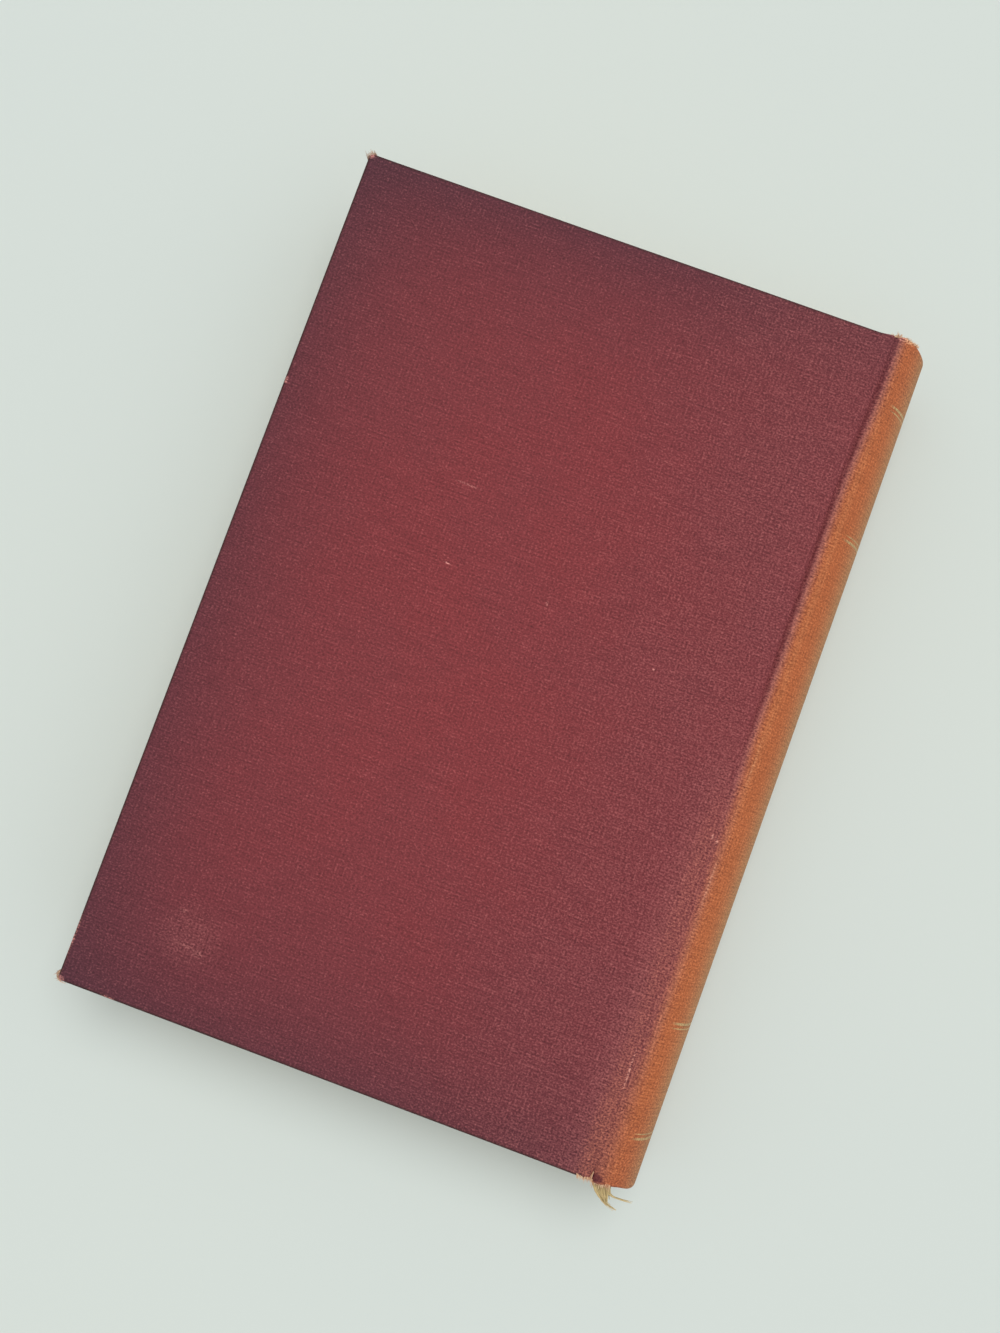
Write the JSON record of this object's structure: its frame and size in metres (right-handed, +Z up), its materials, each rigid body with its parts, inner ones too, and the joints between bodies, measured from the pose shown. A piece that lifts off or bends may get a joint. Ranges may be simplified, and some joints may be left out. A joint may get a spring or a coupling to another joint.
{
  "type": "hardback book",
  "caption": "Cloth-bound hardback book with a rounded, sun-faded spine, lying flat; each cover opens on its cloth joint along the spine.",
  "frame": {"origin": "bottom centre of the closed book's box, on the front cover's outer face, which lies on the table", "axes": "+X from the fore-edge to the spine, +Y from tail to head, +Z up through the book to the back cover"},
  "size_m": [0.1356, 0.197, 0.024],
  "materials": {
    "cover_cloth": "matte woven bookcloth, maroon, rubbed",
    "spine_cloth": "the same cloth, faded to orange-brown",
    "board": "matte greyboard",
    "leaves": "matte, toned book paper",
    "endpaper": "matte, smooth",
    "mull": "open-weave starched cotton",
    "kraft_liner": "matte kraft paper",
    "inlay_card": "thin matte card"
  },
  "bodies": {
    "text_block": {"page_block": "leaves", "back_flyleaf": "endpaper", "front_flyleaf": "endpaper", "spine_mull": "mull", "spine_liner": "kraft_liner", "spine_inlay": "inlay_card", "spine_cloth": "spine_cloth"},
    "back_cover": {"back_board": "board", "back_cloth": "cover_cloth", "back_mull_flange": "mull", "back_pastedown": "endpaper"},
    "front_cover": {"front_board": "board", "front_cloth": "cover_cloth", "front_mull_flange": "mull", "front_pastedown": "endpaper"}
  },
  "joints": [
    {"name": "back_cover_hinge", "type": "hinge", "parent": "text_block", "child": "back_cover", "pos_m": [0.0598, 0, 0.0223], "axis": [0, 1, 0], "range_deg": [0, 180]},
    {"name": "front_cover_hinge", "type": "hinge", "parent": "text_block", "child": "front_cover", "pos_m": [0.0598, 0, 0.0017], "axis": [0, -1, 0], "range_deg": [0, 180]}
  ]
}
